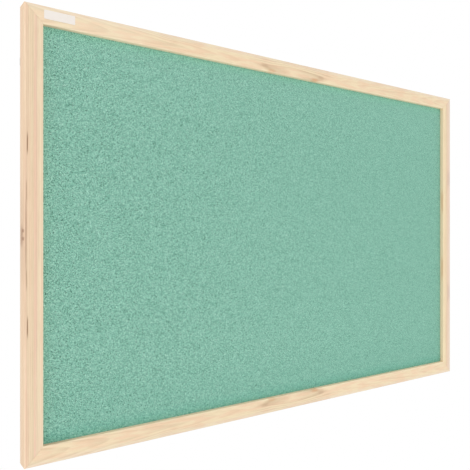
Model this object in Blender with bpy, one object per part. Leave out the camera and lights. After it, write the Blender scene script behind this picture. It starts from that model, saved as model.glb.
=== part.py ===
"""Framed cork notice board, hung on a wall by two strap hangers with swinging rings.

Metres, +Z up. The front faces -Y and +X is to the right of someone who looks at the front.
The origin is the middle of the board's outline, on the wall plane that the bumpers rest on.
Depths are measured backwards from the front of the frame.
"""

import math

import bmesh
import bpy
from mathutils import Matrix, Vector

# Board, from outside to outside
BOARD_WIDTH = 0.900
BOARD_HEIGHT = 0.600

# Frame moulding
FACE_WIDTH = 0.024
FRAME_DEPTH = 0.024
OUTER_ROUND = 0.0025
BEVEL_WIDTH = 0.008
BEVEL_DROP = 0.0017
LIP_DEPTH = 0.0088
LIP_ARRIS = 0.0006
REBATE_WIDTH = 0.008
ROUND_STEPS = 5

# Clearance between pieces that touch, and how far cutters run past what they cut
FIT_GAP = 0.0003
CUT_OVERRUN = 0.002

# Panel layers in the rebate
PANEL_PLAY = 0.001
CORK_THICKNESS = 0.003
CORE_THICKNESS = 0.005
BACK_THICKNESS = 0.0025

# Bare label on the top rail
LABEL_WIDTH = 0.041
LABEL_HEIGHT = 0.012
LABEL_THICKNESS = 0.0003
LABEL_CORNER = 0.001
LABEL_FROM_SIDE = 0.0245
LABEL_FROM_TOP = 0.0052
LABEL_CORNER_STEPS = 4

# Corner nails, bent strips driven across each mitre from the back
NAIL_LEG = 0.0055
NAIL_THICKNESS = 0.0005
NAIL_DEPTH = 0.010
NAIL_LEAN = math.radians(45)
NAIL_PLACE_SHARES = (0.2, 0.6)

# Framer's points that hold the panel in the rebate
POINT_WIDTH = 0.008
POINT_LENGTH = 0.015
POINT_BITE = 0.006
POINT_THICKNESS = 0.0005
POINT_SHOULDER_SHARE = 0.5
POINT_SPACING_LIMIT = 0.360

# Strap hangers
HANGER_DROP = 0.065
STRAP_WIDTH = 0.010
STRAP_THICKNESS = 0.0009
STRAP_TAIL = 0.006
STRAP_CORNER = 0.003
STRAP_CORNER_STEPS = 4
STRAP_CORNER_PROFILE_SHARE = 0.5
CURL_ANGLE = math.radians(285)
CURL_STEPS = 18

# Hanger rings
RING_WIRE = 0.002
RING_HEIGHT = 0.016
RING_SIDE_GAP = 0.0008
PIVOT_GAP = 0.0003
RING_CORNER_STEPS = 4
RING_BOW_STEPS = 16

# Hanger screws
SCREW_SHANK = 0.0026
SCREW_LENGTH = 0.014
SCREW_TIP = 0.003
SCREW_PITCH = 0.015
SCREW_TO_RING = 0.001
HEAD_WIDTH = 0.006
HEAD_HEIGHT = 0.0017
HEAD_RIM = 0.0006
HEAD_STEPS = 4
CROSS_SPAN = 0.0032
CROSS_SLOT = 0.0007
CROSS_DEPTH = 0.0009
SCREW_SIDES = 24

# Rubber bumpers
BUMPER_WIDTH = 0.012
BUMPER_TIP_WIDTH = 0.0095
BUMPER_ROUND = 0.0008
BUMPER_SIDES = 32
BUMPER_ROUND_STEPS = 4

# Places that follow from the sizes above
BACK_FACE_WIDTH = FACE_WIDTH - REBATE_WIDTH
KNUCKLE_INNER = RING_WIRE / 2 + PIVOT_GAP
KNUCKLE_OUTER = KNUCKLE_INNER + STRAP_THICKNESS
STANDOFF = FIT_GAP + 2 * KNUCKLE_OUTER + FIT_GAP
BACK_Y = -STANDOFF
FRONT_Y = BACK_Y - FRAME_DEPTH
CORK_FRONT = LIP_DEPTH + FIT_GAP
CORE_FRONT = CORK_FRONT + CORK_THICKNESS + FIT_GAP
BOARD_FRONT = CORE_FRONT + CORE_THICKNESS + FIT_GAP
POINT_FRONT = BOARD_FRONT + BACK_THICKNESS + FIT_GAP
PIVOT_Y = BACK_Y + FIT_GAP + KNUCKLE_OUTER
PIVOT_Z = BOARD_HEIGHT / 2 - HANGER_DROP
HANGER_X = BOARD_WIDTH / 2 - BACK_FACE_WIDTH / 2
STRAP_BACK_Y = BACK_Y + FIT_GAP + STRAP_THICKNESS
FIRST_SCREW_DROP = RING_HEIGHT + RING_WIRE / 2 + SCREW_TO_RING + HEAD_WIDTH / 2
SCREW_DROPS = (FIRST_SCREW_DROP, FIRST_SCREW_DROP + SCREW_PITCH)
STRAP_LENGTH = SCREW_DROPS[-1] + STRAP_TAIL

# Frame members, clockwise from the top: name, outer corner where each starts (as signs of X and Z),
# turn about Y and length
MEMBERS = (
    ("frame_top_rail", (-1, 1), 0, BOARD_WIDTH),
    ("frame_right_stile", (1, 1), 90, BOARD_HEIGHT),
    ("frame_bottom_rail", (1, -1), 180, BOARD_WIDTH),
    ("frame_left_stile", (-1, -1), 270, BOARD_HEIGHT),
)
CORNER_NAMES = ("top_left", "top_right", "bottom_right", "bottom_left")
SIDES = (("left", -1), ("right", 1))


def clear_scene():
    """Remove every object that the file opened with."""
    for item in list(bpy.data.objects):
        bpy.data.objects.remove(item, do_unlink=True)


def surface(name, colour, roughness, metallic=0.0):
    """Principled material with one colour, roughness and metallic value."""
    look = bpy.data.materials.get(name) or bpy.data.materials.new(name)
    look.use_nodes = True
    shader = look.node_tree.nodes["Principled BSDF"]
    shader.inputs["Base Color"].default_value = (*colour, 1)
    shader.inputs["Roughness"].default_value = roughness
    shader.inputs["Metallic"].default_value = metallic
    return look


def pine():
    """Pale, clear-sealed pine."""
    return surface("pine", (0.80, 0.64, 0.44), 0.5)


def dyed_cork():
    """Fine-grained cork, dyed mint green."""
    return surface("dyed_cork", (0.23, 0.49, 0.37), 0.9)


def softboard():
    """Light fibre board behind the cork."""
    return surface("softboard", (0.46, 0.36, 0.25), 0.95)


def hardboard():
    """Dense brown fibre board."""
    return surface("hardboard", (0.21, 0.12, 0.06), 0.6)


def label_film():
    """Bare white film."""
    return surface("label_film", (0.90, 0.90, 0.90), 0.35)


def plated_steel():
    """Bright plated steel."""
    return surface("plated_steel", (0.62, 0.61, 0.58), 0.3, 1.0)


def spring_steel():
    """Dark, oiled strip steel."""
    return surface("spring_steel", (0.30, 0.30, 0.31), 0.4, 1.0)


def rubber():
    """Grey rubber."""
    return surface("rubber", (0.16, 0.16, 0.16), 0.8)


def add_object(name, data, look, place):
    """Link mesh or curve data as the named object, with its look, at a matrix."""
    data.materials.append(look)
    item = bpy.data.objects.new(name, data)
    item.matrix_world = place
    bpy.context.scene.collection.objects.link(item)
    return item


def mesh_from(bm, name):
    """Turn a bmesh into mesh data with its faces pointing out, and free it."""
    bmesh.ops.recalc_face_normals(bm, faces=bm.faces)
    mesh = bpy.data.meshes.new(name)
    bm.to_mesh(mesh)
    bm.free()
    return mesh


def add_cutter(name, bm, place, target):
    """Make a hidden cutter from a bmesh and subtract it from the target."""
    cutter = bpy.data.objects.new(name, mesh_from(bm, name))
    cutter.matrix_world = place
    cutter.hide_render = True
    cutter.display_type = "WIRE"
    bpy.context.scene.collection.objects.link(cutter)
    cut = target.modifiers.new(name, "BOOLEAN")
    cut.operation = "DIFFERENCE"
    cut.solver = "EXACT"
    cut.object = cutter


def extrude_outline(bm, outline, sweep):
    """Add to a bmesh the prism that a flat outline sweeps along a vector."""
    base = bm.faces.new([bm.verts.new(point) for point in outline])
    swept = bmesh.ops.extrude_face_region(bm, geom=[base])["geom"]
    moved = [part for part in swept if isinstance(part, bmesh.types.BMVert)]
    bmesh.ops.translate(bm, vec=sweep, verts=moved)
    return moved


def rectangle(low_x, high_x, low_z, high_z, y):
    """Corners of an upright rectangle at one depth."""
    return [(low_x, y, low_z), (high_x, y, low_z), (high_x, y, high_z), (low_x, y, high_z)]


def turned_solid(profile, sides):
    """Bmesh of a profile of (radius, height) points, from axis to axis, turned about Z."""
    bm = bmesh.new()
    rows = [bm.verts.new((radius, 0, height)) for radius, height in profile]
    edges = [bm.edges.new(pair) for pair in zip(rows, rows[1:])]
    bmesh.ops.spin(bm, geom=rows + edges, axis=(0, 0, 1), cent=(0, 0, 0), angle=math.tau, steps=sides)
    bmesh.ops.remove_doubles(bm, verts=bm.verts, dist=FIT_GAP / sides)
    return bm


def shade_round(mesh, sharp=math.radians(35)):
    """Shade a turned or rounded mesh smooth between its sharp edges."""
    mesh.shade_smooth()
    mesh.set_sharp_from_angle(angle=sharp)


def member_place(corner, turn):
    """Matrix from a member's own axes (X along it, Y depth, -Z towards the cork) to the world."""
    start = Vector((corner[0] * BOARD_WIDTH / 2, FRONT_Y, corner[1] * BOARD_HEIGHT / 2))
    return Matrix.Translation(start) @ Matrix.Rotation(math.radians(turn), 4, "Y")


def moulding_outline():
    """Section of the moulding as (across, depth), from its outer back edge round to the rebate."""
    points = [(0, FRAME_DEPTH)]
    for step in range(ROUND_STEPS + 1):
        turn = step / ROUND_STEPS * math.pi / 2
        points.append((OUTER_ROUND * (1 - math.cos(turn)), OUTER_ROUND * (1 - math.sin(turn))))
    points.append((FACE_WIDTH - BEVEL_WIDTH, 0))
    points.append((FACE_WIDTH - LIP_ARRIS, BEVEL_DROP * (1 - LIP_ARRIS / BEVEL_WIDTH)))
    points.append((FACE_WIDTH, BEVEL_DROP + LIP_ARRIS))
    points.append((FACE_WIDTH, LIP_DEPTH))
    points.append((BACK_FACE_WIDTH, LIP_DEPTH))
    points.append((BACK_FACE_WIDTH, FRAME_DEPTH))
    return points


def member_mesh(name, length):
    """Moulding of one length, mitred at 45 degrees with half of the joint's gap at each end."""
    half_joint = FIT_GAP / math.sqrt(2)
    bm = bmesh.new()
    outline = [(across + half_joint, depth, -across) for across, depth in moulding_outline()]
    moved = extrude_outline(bm, outline, (length, 0, 0))
    for vert in moved:
        vert.co.x = 2 * length - vert.co.x
    mesh = mesh_from(bm, name)
    shade_round(mesh)
    return mesh


def nail_outline(apex, grow):
    """Bent strip across the mitre, as (x, z) in a member's axes at its starting corner."""
    along = Vector((math.cos(NAIL_LEAN), math.sin(NAIL_LEAN)))
    inward = Vector((math.sin(NAIL_LEAN), -math.cos(NAIL_LEAN)))
    outer_end = along * (NAIL_LEG + grow) - inward * grow
    inner_end = outer_end + inward * (NAIL_THICKNESS + 2 * grow)
    outer_apex = Vector((-grow / math.sin(NAIL_LEAN), 0))
    inner_apex = Vector(((NAIL_THICKNESS + grow) / math.sin(NAIL_LEAN), 0))
    mirrored = [Vector((end.x, -end.y)) for end in (inner_end, outer_end)]
    ring = [outer_apex, outer_end, inner_end, inner_apex, *mirrored]
    root = math.sqrt(2)
    return [((apex + p.x + p.y) / root, (p.y - apex - p.x) / root) for p in ring]


def nail_apexes():
    """Distances of a corner's nails from the outer corner, along the mitre."""
    return [share * BACK_FACE_WIDTH * math.sqrt(2) for share in NAIL_PLACE_SHARES]


def point_places(length):
    """Even places along a member, in pairs about its middle and no further apart than the limit."""
    count = 2 * math.ceil(length / (2 * POINT_SPACING_LIMIT))
    return [(index + 0.5) * length / count for index in range(count)]


def add_nail_slots(bm, length):
    """Add the slots for the nails at both ends of a member."""
    front = FRAME_DEPTH - NAIL_DEPTH - FIT_GAP
    sweep = (0, FRAME_DEPTH + CUT_OVERRUN - front, 0)
    for apex in nail_apexes():
        slot = nail_outline(apex, FIT_GAP)
        extrude_outline(bm, [(x, front, z) for x, z in slot], sweep)
        extrude_outline(bm, [(length - x, front, z) for x, z in slot], sweep)


def add_point_slots(bm, length):
    """Add the slots that the framer's points leave in the rebate wall."""
    reach = POINT_WIDTH / 2 + FIT_GAP
    inner = -BACK_FACE_WIDTH - CUT_OVERRUN
    outer = -BACK_FACE_WIDTH + POINT_BITE + FIT_GAP
    front = POINT_FRONT - FIT_GAP
    for place in point_places(length):
        slot = rectangle(place - reach, place + reach, inner, outer, front)
        extrude_outline(bm, slot, (0, POINT_THICKNESS + 2 * FIT_GAP, 0))


def add_screw_holes(bm, length, corner):
    """Add the blind holes for a stile's two hanger screws."""
    bottom = FRAME_DEPTH + FIT_GAP + STRAP_THICKNESS + FIT_GAP - SCREW_LENGTH - FIT_GAP
    depth = FRAME_DEPTH + CUT_OVERRUN - bottom
    for drop in SCREW_DROPS:
        from_top = HANGER_DROP + drop
        along = from_top if corner[1] > 0 else length - from_top
        middle = Vector((along, bottom + depth / 2, -BACK_FACE_WIDTH / 2))
        place = Matrix.Translation(middle) @ Matrix.Rotation(math.radians(90), 4, "X")
        radius = SCREW_SHANK / 2 + FIT_GAP
        bmesh.ops.create_cone(bm, cap_ends=True, segments=SCREW_SIDES, radius1=radius, radius2=radius,
                              depth=depth, matrix=place)


def make_frame():
    """Four mitred members, slotted for the nails and points and drilled for the screws."""
    for name, corner, turn, length in MEMBERS:
        place = member_place(corner, turn)
        member = add_object(name, member_mesh(name, length), pine(), place)
        slots = bmesh.new()
        add_nail_slots(slots, length)
        add_point_slots(slots, length)
        if name.endswith("stile"):
            add_screw_holes(slots, length, corner)
        add_cutter(name + "_slots", slots, place, member)


def make_corner_nails():
    """Two bent nails across each mitre, flush with the back of the frame."""
    for (_, corner, turn, _), corner_name in zip(MEMBERS, CORNER_NAMES):
        for apex, where in zip(nail_apexes(), ("outer", "inner")):
            bm = bmesh.new()
            front = FRAME_DEPTH - NAIL_DEPTH
            outline = [(x, front, z) for x, z in nail_outline(apex, 0)]
            extrude_outline(bm, outline, (0, NAIL_DEPTH, 0))
            name = f"corner_nail_{corner_name}_{where}"
            add_object(name, mesh_from(bm, name), spring_steel(), member_place(corner, turn))


def make_framer_points():
    """Thin leaves driven into the rebate wall, lying over the back board."""
    nose = -BACK_FACE_WIDTH + POINT_BITE
    shoulder = -BACK_FACE_WIDTH + POINT_BITE * POINT_SHOULDER_SHARE
    heel = nose - POINT_LENGTH
    half = POINT_WIDTH / 2
    outline = [(-half, heel), (half, heel), (half, shoulder), (0, nose), (-half, shoulder)]
    for member, corner, turn, length in MEMBERS:
        side = member.split("_")[1]
        for index, place in enumerate(point_places(length)):
            bm = bmesh.new()
            leaf = [(x, POINT_FRONT, z) for x, z in outline]
            extrude_outline(bm, leaf, (0, POINT_THICKNESS, 0))
            name = f"framer_point_{side}_{index + 1}"
            along = Matrix.Translation((place, 0, 0))
            add_object(name, mesh_from(bm, name), spring_steel(), member_place(corner, turn) @ along)


def make_panel_layer(name, front, thickness, look):
    """One flat layer of the panel, with play all round in the rebate."""
    half_width = BOARD_WIDTH / 2 - BACK_FACE_WIDTH - PANEL_PLAY
    half_height = BOARD_HEIGHT / 2 - BACK_FACE_WIDTH - PANEL_PLAY
    bm = bmesh.new()
    extrude_outline(bm, rectangle(-half_width, half_width, -half_height, half_height, 0), (0, thickness, 0))
    add_object(name, mesh_from(bm, name), look, Matrix.Translation((0, FRONT_Y + front, 0)))


def make_panel():
    """Cork face, softboard core and hardboard back, from front to back."""
    make_panel_layer("cork_sheet", CORK_FRONT, CORK_THICKNESS, dyed_cork())
    make_panel_layer("softboard_core", CORE_FRONT, CORE_THICKNESS, softboard())
    make_panel_layer("hardboard_back", BOARD_FRONT, BACK_THICKNESS, hardboard())


def make_label():
    """Bare film with round corners on the top rail, its lower edge just over the bevel."""
    centres = []
    for x_sign, z_sign in ((1, 1), (-1, 1), (-1, -1), (1, -1)):
        centres.append((x_sign * (LABEL_WIDTH / 2 - LABEL_CORNER), z_sign * (LABEL_HEIGHT / 2 - LABEL_CORNER)))
    outline = []
    for quarter, (x, z) in enumerate(centres):
        for step in range(LABEL_CORNER_STEPS + 1):
            turn = (quarter + step / LABEL_CORNER_STEPS) * math.pi / 2
            outline.append((x + LABEL_CORNER * math.cos(turn), 0, z + LABEL_CORNER * math.sin(turn)))
    bm = bmesh.new()
    extrude_outline(bm, outline, (0, LABEL_THICKNESS, 0))
    middle_x = -BOARD_WIDTH / 2 + LABEL_FROM_SIDE + LABEL_WIDTH / 2
    middle_z = BOARD_HEIGHT / 2 - LABEL_FROM_TOP - LABEL_HEIGHT / 2
    place = Matrix.Translation((middle_x, FRONT_Y - FIT_GAP - LABEL_THICKNESS, middle_z))
    add_object("front_label", mesh_from(bm, "front_label"), label_film(), place)


def strap_outline():
    """Side view of a strap as (y, z) from the ring's pivot: a flat leg rolled into a knuckle."""
    outer = []
    inner = []
    for step in range(CURL_STEPS + 1):
        turn = CURL_ANGLE * step / CURL_STEPS
        across, up = -math.cos(turn), math.sin(turn)
        outer.append((KNUCKLE_OUTER * across, KNUCKLE_OUTER * up))
        inner.append((KNUCKLE_INNER * across, KNUCKLE_INNER * up))
    foot = [(-KNUCKLE_INNER, -STRAP_LENGTH), (-KNUCKLE_OUTER, -STRAP_LENGTH)]
    return outer + inner[::-1] + foot


def strap_bmesh():
    """Strap of full width, with its two lower corners rounded."""
    bm = bmesh.new()
    outline = [(-STRAP_WIDTH / 2, y, z) for y, z in strap_outline()]
    extrude_outline(bm, outline, (STRAP_WIDTH, 0, 0))
    level = -STRAP_LENGTH + FIT_GAP
    corners = []
    for edge in bm.edges:
        ends = [vert.co for vert in edge.verts]
        if all(end.z < level for end in ends) and math.isclose(ends[0].x, ends[1].x):
            corners.append(edge)
    bmesh.ops.bevel(bm, geom=corners, offset=STRAP_CORNER, segments=STRAP_CORNER_STEPS,
                    profile=STRAP_CORNER_PROFILE_SHARE, affect="EDGES")
    return bm


def strap_holes():
    """Cutter for the two screw holes of a strap, about the ring's pivot."""
    bm = bmesh.new()
    radius = SCREW_SHANK / 2 + FIT_GAP
    middle_y = -(KNUCKLE_INNER + KNUCKLE_OUTER) / 2
    for drop in SCREW_DROPS:
        place = Matrix.Translation((0, middle_y, -drop)) @ Matrix.Rotation(math.radians(90), 4, "X")
        bmesh.ops.create_cone(bm, cap_ends=True, segments=SCREW_SIDES, radius1=radius, radius2=radius,
                              depth=STRAP_THICKNESS + 2 * CUT_OVERRUN, matrix=place)
    return bm


def ring_path():
    """Centre line of a ring as (x, z) from its pivot: a straight bar closed by a round bow."""
    corner = RING_SIDE_GAP + RING_WIRE / 2
    half = STRAP_WIDTH / 2 + corner
    path = []
    for step in range(RING_CORNER_STEPS + 1):
        turn = math.pi / 2 * (1 - step / RING_CORNER_STEPS)
        path.append((half - corner + corner * math.cos(turn), corner * (math.sin(turn) - 1)))
    for step in range(RING_BOW_STEPS + 1):
        turn = -math.pi * step / RING_BOW_STEPS
        path.append((half * math.cos(turn), half - RING_HEIGHT + half * math.sin(turn)))
    for step in range(RING_CORNER_STEPS + 1):
        turn = math.pi * (1 - step / RING_CORNER_STEPS / 2)
        path.append((corner - half + corner * math.cos(turn), corner * (math.sin(turn) - 1)))
    return path


def ring_curve(name):
    """Closed round wire along the ring's centre line."""
    curve = bpy.data.curves.new(name, "CURVE")
    curve.dimensions = "3D"
    curve.bevel_depth = RING_WIRE / 2
    curve.bevel_resolution = 3
    path = ring_path()
    spline = curve.splines.new("POLY")
    spline.points.add(len(path) - 1)
    for point, (x, z) in zip(spline.points, path):
        point.co = (x, 0, z, 1)
    spline.use_cyclic_u = True
    return curve


def screw_profile():
    """Pan head, shank and tip as (radius, height), with the head's underside at zero."""
    head = HEAD_WIDTH / 2
    dome = HEAD_HEIGHT - HEAD_RIM
    profile = []
    for step in range(HEAD_STEPS + 1):
        turn = math.pi / 2 * step / HEAD_STEPS
        profile.append((head * math.sin(turn), HEAD_RIM + dome * math.cos(turn)))
    shank = SCREW_SHANK / 2
    profile += [(head, 0), (shank, 0), (shank, SCREW_TIP - SCREW_LENGTH), (0, -SCREW_LENGTH)]
    return profile


def cross_recess():
    """Cutter for the cross in a screw head."""
    bm = bmesh.new()
    floor = HEAD_HEIGHT - CROSS_DEPTH
    half = CROSS_SPAN / 2
    slot = CROSS_SLOT / 2
    cross = [(half, slot), (slot, slot), (slot, half)]
    outline = []
    for quarter in range(4):
        spin = Matrix.Rotation(quarter * math.pi / 2, 3, "Z")
        outline += [spin @ Vector((x, y, floor)) for x, y in cross]
    extrude_outline(bm, outline, (0, 0, CROSS_DEPTH + CUT_OVERRUN))
    return bm


def make_screw(name, place):
    """One pan-head screw, its head towards the wall."""
    mesh = mesh_from(turned_solid(screw_profile(), SCREW_SIDES), name)
    shade_round(mesh)
    screw = add_object(name, mesh, plated_steel(), place)
    add_cutter(name + "_cross", cross_recess(), place, screw)


def make_hangers():
    """Strap, ring and two screws on the back of each stile."""
    facing_wall = Matrix.Rotation(math.radians(-90), 4, "X")
    for side, sign in SIDES:
        pivot = Matrix.Translation((sign * HANGER_X, PIVOT_Y, PIVOT_Z))
        strap_name = "hanger_strap_" + side
        mesh = mesh_from(strap_bmesh(), strap_name)
        shade_round(mesh)
        strap = add_object(strap_name, mesh, plated_steel(), pivot)
        add_cutter(strap_name + "_holes", strap_holes(), pivot, strap)
        ring_name = "hanger_ring_" + side
        add_object(ring_name, ring_curve(ring_name), plated_steel(), pivot)
        for where, drop in zip(("upper", "lower"), SCREW_DROPS):
            seat = Matrix.Translation((sign * HANGER_X, STRAP_BACK_Y + FIT_GAP, PIVOT_Z - drop))
            make_screw(f"hanger_screw_{side}_{where}", seat @ facing_wall)


def make_bumpers():
    """Round rubber pads at the lower corners, as thick as the hangers."""
    base = BUMPER_WIDTH / 2
    tip = BUMPER_TIP_WIDTH / 2
    height = STANDOFF - FIT_GAP
    profile = [(0, 0), (base, 0), (base, BUMPER_ROUND)]
    for step in range(BUMPER_ROUND_STEPS + 1):
        turn = math.pi / 2 * step / BUMPER_ROUND_STEPS
        rim = tip + BUMPER_ROUND * (math.cos(turn) - 1)
        profile.append((rim, height + BUMPER_ROUND * (math.sin(turn) - 1)))
    profile.append((0, height))
    inset = BACK_FACE_WIDTH / 2
    for side, sign in SIDES:
        name = "wall_bumper_" + side
        mesh = mesh_from(turned_solid(profile, BUMPER_SIDES), name)
        shade_round(mesh)
        spot = Vector((sign * (BOARD_WIDTH / 2 - inset), BACK_Y + FIT_GAP, inset - BOARD_HEIGHT / 2))
        add_object(name, mesh, rubber(), Matrix.Translation(spot) @ Matrix.Rotation(math.radians(-90), 4, "X"))


clear_scene()
make_frame()
make_corner_nails()
make_panel()
make_framer_points()
make_label()
make_hangers()
make_bumpers()
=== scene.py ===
"""Looks of a framed cork notice board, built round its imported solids.

Metres, +Z up, front towards -Y. The origin is the middle of the board, on the wall plane.
"""

import math
import random

import bmesh
import bpy
from mathutils import Matrix, Vector


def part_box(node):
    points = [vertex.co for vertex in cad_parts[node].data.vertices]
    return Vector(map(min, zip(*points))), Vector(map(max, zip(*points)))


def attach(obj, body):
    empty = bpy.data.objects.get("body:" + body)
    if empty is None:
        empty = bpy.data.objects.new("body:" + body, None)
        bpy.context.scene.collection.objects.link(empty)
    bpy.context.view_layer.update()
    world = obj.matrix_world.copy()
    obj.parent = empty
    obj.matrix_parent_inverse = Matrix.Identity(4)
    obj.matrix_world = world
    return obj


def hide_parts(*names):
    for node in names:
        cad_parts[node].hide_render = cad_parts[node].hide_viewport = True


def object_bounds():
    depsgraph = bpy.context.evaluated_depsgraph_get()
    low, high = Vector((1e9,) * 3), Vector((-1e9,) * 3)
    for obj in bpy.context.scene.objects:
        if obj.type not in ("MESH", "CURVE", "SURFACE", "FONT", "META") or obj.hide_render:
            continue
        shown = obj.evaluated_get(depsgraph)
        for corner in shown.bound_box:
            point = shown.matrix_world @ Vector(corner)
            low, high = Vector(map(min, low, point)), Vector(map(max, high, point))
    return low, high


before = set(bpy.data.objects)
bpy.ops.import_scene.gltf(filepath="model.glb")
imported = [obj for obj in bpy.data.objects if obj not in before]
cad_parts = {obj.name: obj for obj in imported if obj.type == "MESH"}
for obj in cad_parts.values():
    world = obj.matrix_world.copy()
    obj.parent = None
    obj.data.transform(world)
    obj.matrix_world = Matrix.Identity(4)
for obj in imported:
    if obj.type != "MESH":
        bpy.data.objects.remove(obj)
cad_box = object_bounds()

# The room. A pale studio floor lies well below the board, which is seen as if it hung at eye height,
# from its left and level with its middle. An even white room lights it, with three weak soft lamps.

EYE_BEFORE_FRONT = 0.732
EYE_LEFT_OF_BOARD = 0.1729
EYE_ABOVE_MIDDLE = 0.0003
EYE_TURN = math.radians(34.27)
PHOTO_PIXELS = 470
FOCAL_PIXELS = 548.9
ROOM_LIGHT = 0.93
FLOOR_BELOW = 1.40
FLOOR_RADIUS = 1.9
FLOOR_FADE_START = 0.25
FLOOR_FADE_END_SHARE = 0.95
LAMPS = (
    ("low_lamp", (0.1, -0.8, -1.1), 0.8, 1.2),
    ("left_lamp", (-2.8, -0.9, 0.1), 1.6, 5.0),
    ("back_lamp", (1.2, 2.6, 1.5), 2.2, 6.0),
)


class Value:
    """A number that varies over a surface. Arithmetic on it adds Math nodes beside its own."""

    def __init__(self, nodes, socket):
        self.nodes = nodes
        self.socket = socket

    def math(self, operation, *inputs):
        return self.nodes.node("ShaderNodeMath", {"operation": operation}, dict(enumerate(inputs)))

    def __add__(self, other):
        return self.math("ADD", self, other)

    def __radd__(self, other):
        return self.math("ADD", other, self)

    def __sub__(self, other):
        return self.math("SUBTRACT", self, other)

    def __rsub__(self, other):
        return self.math("SUBTRACT", other, self)

    def __mul__(self, other):
        return self.math("MULTIPLY", self, other)

    def __truediv__(self, other):
        return self.math("DIVIDE", self, other)

    def __neg__(self):
        return self.math("MULTIPLY", self, -1.0)

    def __abs__(self):
        return self.math("ABSOLUTE", self)

    def least(self, other):
        return self.math("MINIMUM", self, other)

    def most(self, other):
        return self.math("MAXIMUM", self, other)

    def fraction(self):
        return self.math("FRACT", self)

    def sine(self):
        return self.math("SINE", self)

    def bell(self):
        """Falls smoothly from 1 where this is 0 towards 0 on both sides."""
        return self.math("EXPONENT", -(self * self))

    def ease(self, low, high):
        """Climbs smoothly from 0 at low to 1 at high."""
        settings = {"interpolation_type": "SMOOTHSTEP"}
        return self.nodes.node("ShaderNodeMapRange", settings, {0: self, 1: low, 2: high})


class Nodes:
    """A node tree, with one way to add nodes to it."""

    def __init__(self, tree):
        self.tree = tree

    def node(self, kind, settings=None, sockets=None, out=0):
        """Add a node of a type, apply its settings, then give its sockets values or links."""
        made = self.tree.nodes.new(kind)
        for key, setting in (settings or {}).items():
            if key == "stops":
                self.set_stops(made.color_ramp, setting)
            else:
                setattr(made, key, setting)
        for key, value in (sockets or {}).items():
            self.feed(made.inputs[key], value)
        return Value(self, made.outputs[out])

    def set_stops(self, ramp, stops):
        """Give a colour ramp its stops, each a place from 0 to 1 and a colour."""
        while len(ramp.elements) < len(stops):
            ramp.elements.new(1.0)
        for element, (place, colour) in zip(ramp.elements, stops):
            element.position = place
            element.color = (*colour, 1.0)

    def feed(self, socket, value):
        """Link a varying value to a socket, or set a constant on it."""
        if isinstance(value, Value):
            self.tree.links.new(value.socket, socket)
        elif socket.type == "RGBA" and len(value) == 3:
            socket.default_value = (*value, 1.0)
        else:
            socket.default_value = value

    def seen(self):
        """1 where an eye, a mirror or glass looks straight at something, 0 where it lights things."""
        kinds = ("Is Camera Ray", "Is Glossy Ray", "Is Transmission Ray")
        eye, mirror, glass = (self.node("ShaderNodeLightPath", out=kind) for kind in kinds)
        return eye.most(mirror).most(glass)


class Finish(Nodes):
    """A node material round one Principled shader."""

    def __init__(self, name, **constants):
        self.material = bpy.data.materials.new(name)
        self.material.use_nodes = True
        super().__init__(self.material.node_tree)
        self.shader = self.tree.nodes["Principled BSDF"]
        for socket, value in constants.items():
            self.shader.inputs[socket.replace("_", " ").title()].default_value = value

    def paint(self, socket, value):
        """Feed one of the shader's own sockets with what varies over the surface."""
        self.feed(self.shader.inputs[socket], value)

    def place(self):
        """Position on the piece as X, Y and Z, in millimetres."""
        spot = self.node("ShaderNodeTexCoord", out="Object")
        axes = [self.node("ShaderNodeSeparateXYZ", None, {0: spot}, axis) for axis in range(3)]
        return [axis * 1000.0 for axis in axes]

    def point(self, x, y, z):
        return self.node("ShaderNodeCombineXYZ", None, {0: x, 1: y, 2: z})

    def noise(self, spot, scale=1.0, detail=2.0, rough=0.5):
        sockets = {"Vector": spot, "Scale": scale, "Detail": detail, "Roughness": rough}
        return self.node("ShaderNodeTexNoise", None, sockets)

    def cells(self, spot, scale=1.0, feature="F1", out="Distance"):
        sockets = {"Vector": spot, "Scale": scale}
        return self.node("ShaderNodeTexVoronoi", {"feature": feature}, sockets, out)

    def mix(self, share, first, second):
        settings = {"data_type": "RGBA", "clamp_factor": True}
        return self.node("ShaderNodeMix", settings, {0: share, 6: first, 7: second}, 2)

    def ramp(self, value, stops):
        return self.node("ShaderNodeValToRGB", {"stops": stops}, {0: value})

    def course(self, value, places):
        """A number read off straight lines between places, each a value and its number."""
        start, stop = places[0][0], places[-1][0]
        low = min(number for at, number in places)
        high = max(number for at, number in places)
        stops = []
        for at, number in places:
            grey = (number - low) / (high - low)
            stops.append(((at - start) / (stop - start), (grey, grey, grey)))
        return self.ramp((value - start) / (stop - start), stops) * (high - low) + low

    def relief(self, height, depth):
        """Fine relief, whose height from 0 to 1 stands for a depth in metres."""
        self.paint("Normal", self.node("ShaderNodeBump", None, {"Height": height, "Distance": depth}))


def srgb(red, green, blue):
    """Linear colour of screen values from 0 to 255."""
    linear = []
    for value in (red, green, blue):
        share = value / 255
        linear.append(share / 12.92 if share <= 0.04045 else ((share + 0.055) / 1.055) ** 2.4)
    return tuple(linear)


def make_piece(name, bm, finish, smooth_below=40):
    """A piece from a bmesh, smooth where its faces meet at less than an angle in degrees."""
    bmesh.ops.recalc_face_normals(bm, faces=bm.faces)
    mesh = bpy.data.meshes.new(name)
    bm.to_mesh(mesh)
    bm.free()
    mesh.shade_smooth()
    mesh.set_sharp_from_angle(angle=math.radians(smooth_below))
    mesh.materials.append(finish.material)
    piece = bpy.data.objects.new(name, mesh)
    scene.collection.objects.link(piece)
    return piece


scene = bpy.context.scene
scene.view_settings.view_transform = "Standard"
BOARD_RIGHT = cad_box[1][0]
BOARD_TOP = cad_box[1][2]
FRONT_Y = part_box("frame_top_rail")[0][1]
BACK_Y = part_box("frame_top_rail")[1][1]

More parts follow.
